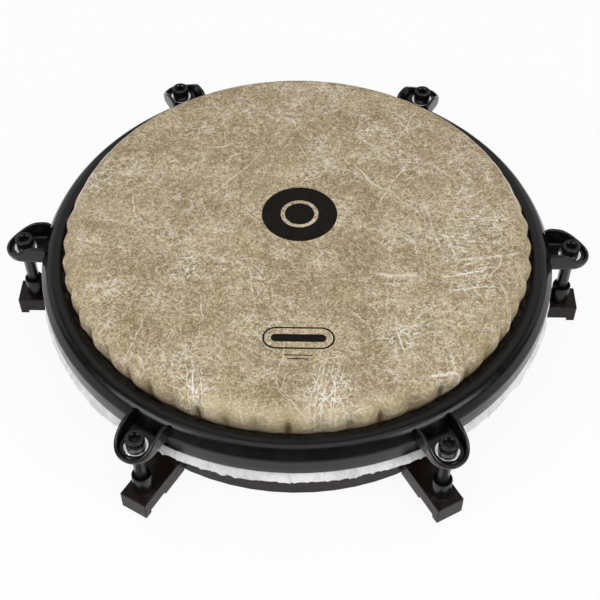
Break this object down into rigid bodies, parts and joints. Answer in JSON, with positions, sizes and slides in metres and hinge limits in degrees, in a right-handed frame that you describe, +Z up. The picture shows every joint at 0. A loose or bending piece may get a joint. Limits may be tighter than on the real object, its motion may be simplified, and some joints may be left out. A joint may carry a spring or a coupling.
{
  "type": "compact conga",
  "caption": "Low, frame-built conga: pleated fibre head drawn over a short shell by a black rim with ears, socket-head tuning bolts and notched arms that seat in a stand.",
  "frame": {"origin": "centre of the drum, on the surface it stands on", "axes": "+Z up along the axis of the drum; +X through lug 1; the lugs are numbered anticlockwise as seen from above, every 60 degrees"},
  "size_m": [0.397, 0.351, 0.0865],
  "materials": {
    "frame_paint": "satin black paint on steel, faintly brown on the arms",
    "sleeve_paint": "semi-gloss black paint on steel",
    "shell_lacquer": "dark lacquered plywood",
    "screw_zinc": "zinc plated",
    "film": "tan fibre-laminated film, mottled, with pale strands",
    "film_tail": "milky white film, creased, with a torn hem",
    "hoop_steel": "plain steel",
    "rim_paint": "satin black powder coat",
    "ear_paint": "satin black powder coat",
    "washer_chrome": "bright plated",
    "black_oxide": "black oxide on steel"
  },
  "bodies": {
    "frame": {"base_ring": "frame_paint", "arm_1": "frame_paint", "arm_2": "frame_paint", "arm_3": "frame_paint", "arm_4": "frame_paint", "arm_5": "frame_paint", "arm_6": "frame_paint", "threaded_sleeve_1": "sleeve_paint", "threaded_sleeve_2": "sleeve_paint", "threaded_sleeve_3": "sleeve_paint", "threaded_sleeve_4": "sleeve_paint", "threaded_sleeve_5": "sleeve_paint", "threaded_sleeve_6": "sleeve_paint", "shell": "shell_lacquer", "shell_screw_1": "screw_zinc", "shell_screw_2": "screw_zinc", "shell_screw_3": "screw_zinc", "shell_screw_4": "screw_zinc", "shell_screw_5": "screw_zinc", "shell_screw_6": "screw_zinc", "drumhead": "film", "head_tail": "film_tail", "flesh_hoop": "hoop_steel"},
    "rim": {"tension_rim": "rim_paint", "rim_ear_1": "ear_paint", "rim_ear_2": "ear_paint", "rim_ear_3": "ear_paint", "rim_ear_4": "ear_paint", "rim_ear_5": "ear_paint", "rim_ear_6": "ear_paint", "washer_1": "washer_chrome", "washer_2": "washer_chrome", "washer_3": "washer_chrome", "washer_4": "washer_chrome", "washer_5": "washer_chrome", "washer_6": "washer_chrome"},
    "bolt_1": {"tuning_bolt_1": "black_oxide"},
    "bolt_2": {"tuning_bolt_2": "black_oxide"},
    "bolt_3": {"tuning_bolt_3": "black_oxide"},
    "bolt_4": {"tuning_bolt_4": "black_oxide"},
    "bolt_5": {"tuning_bolt_5": "black_oxide"},
    "bolt_6": {"tuning_bolt_6": "black_oxide"}
  },
  "joints": [
    {"name": "rim_slide", "type": "slide", "parent": "frame", "child": "rim", "axis": [0, 0, 1], "range_m": [0, 0.01]},
    {"name": "bolt_1_turn", "type": "hinge", "parent": "rim", "child": "bolt_1", "pos_m": [0.1855, 0, 0.06], "axis": [0, 0, 1], "range_deg": [0, 2880.5]},
    {"name": "bolt_2_turn", "type": "hinge", "parent": "rim", "child": "bolt_2", "pos_m": [0.09275, 0.16065, 0.06], "axis": [0, 0, 1], "range_deg": [0, 2880.5]},
    {"name": "bolt_3_turn", "type": "hinge", "parent": "rim", "child": "bolt_3", "pos_m": [-0.09275, 0.16065, 0.06], "axis": [0, 0, 1], "range_deg": [0, 2880.5]},
    {"name": "bolt_4_turn", "type": "hinge", "parent": "rim", "child": "bolt_4", "pos_m": [-0.1855, 0, 0.06], "axis": [0, 0, 1], "range_deg": [0, 2880.5]},
    {"name": "bolt_5_turn", "type": "hinge", "parent": "rim", "child": "bolt_5", "pos_m": [-0.09275, -0.16065, 0.06], "axis": [0, 0, 1], "range_deg": [0, 2880.5]},
    {"name": "bolt_6_turn", "type": "hinge", "parent": "rim", "child": "bolt_6", "pos_m": [0.09275, -0.16065, 0.06], "axis": [0, 0, 1], "range_deg": [0, 2880.5]}
  ],
  "couplings": [
    {"joint": "bolt_1_turn", "follows": "rim_slide", "rad_per_m": 5026.5},
    {"joint": "bolt_2_turn", "follows": "rim_slide", "rad_per_m": 5026.5},
    {"joint": "bolt_3_turn", "follows": "rim_slide", "rad_per_m": 5026.5},
    {"joint": "bolt_4_turn", "follows": "rim_slide", "rad_per_m": 5026.5},
    {"joint": "bolt_5_turn", "follows": "rim_slide", "rad_per_m": 5026.5},
    {"joint": "bolt_6_turn", "follows": "rim_slide", "rad_per_m": 5026.5}
  ]
}
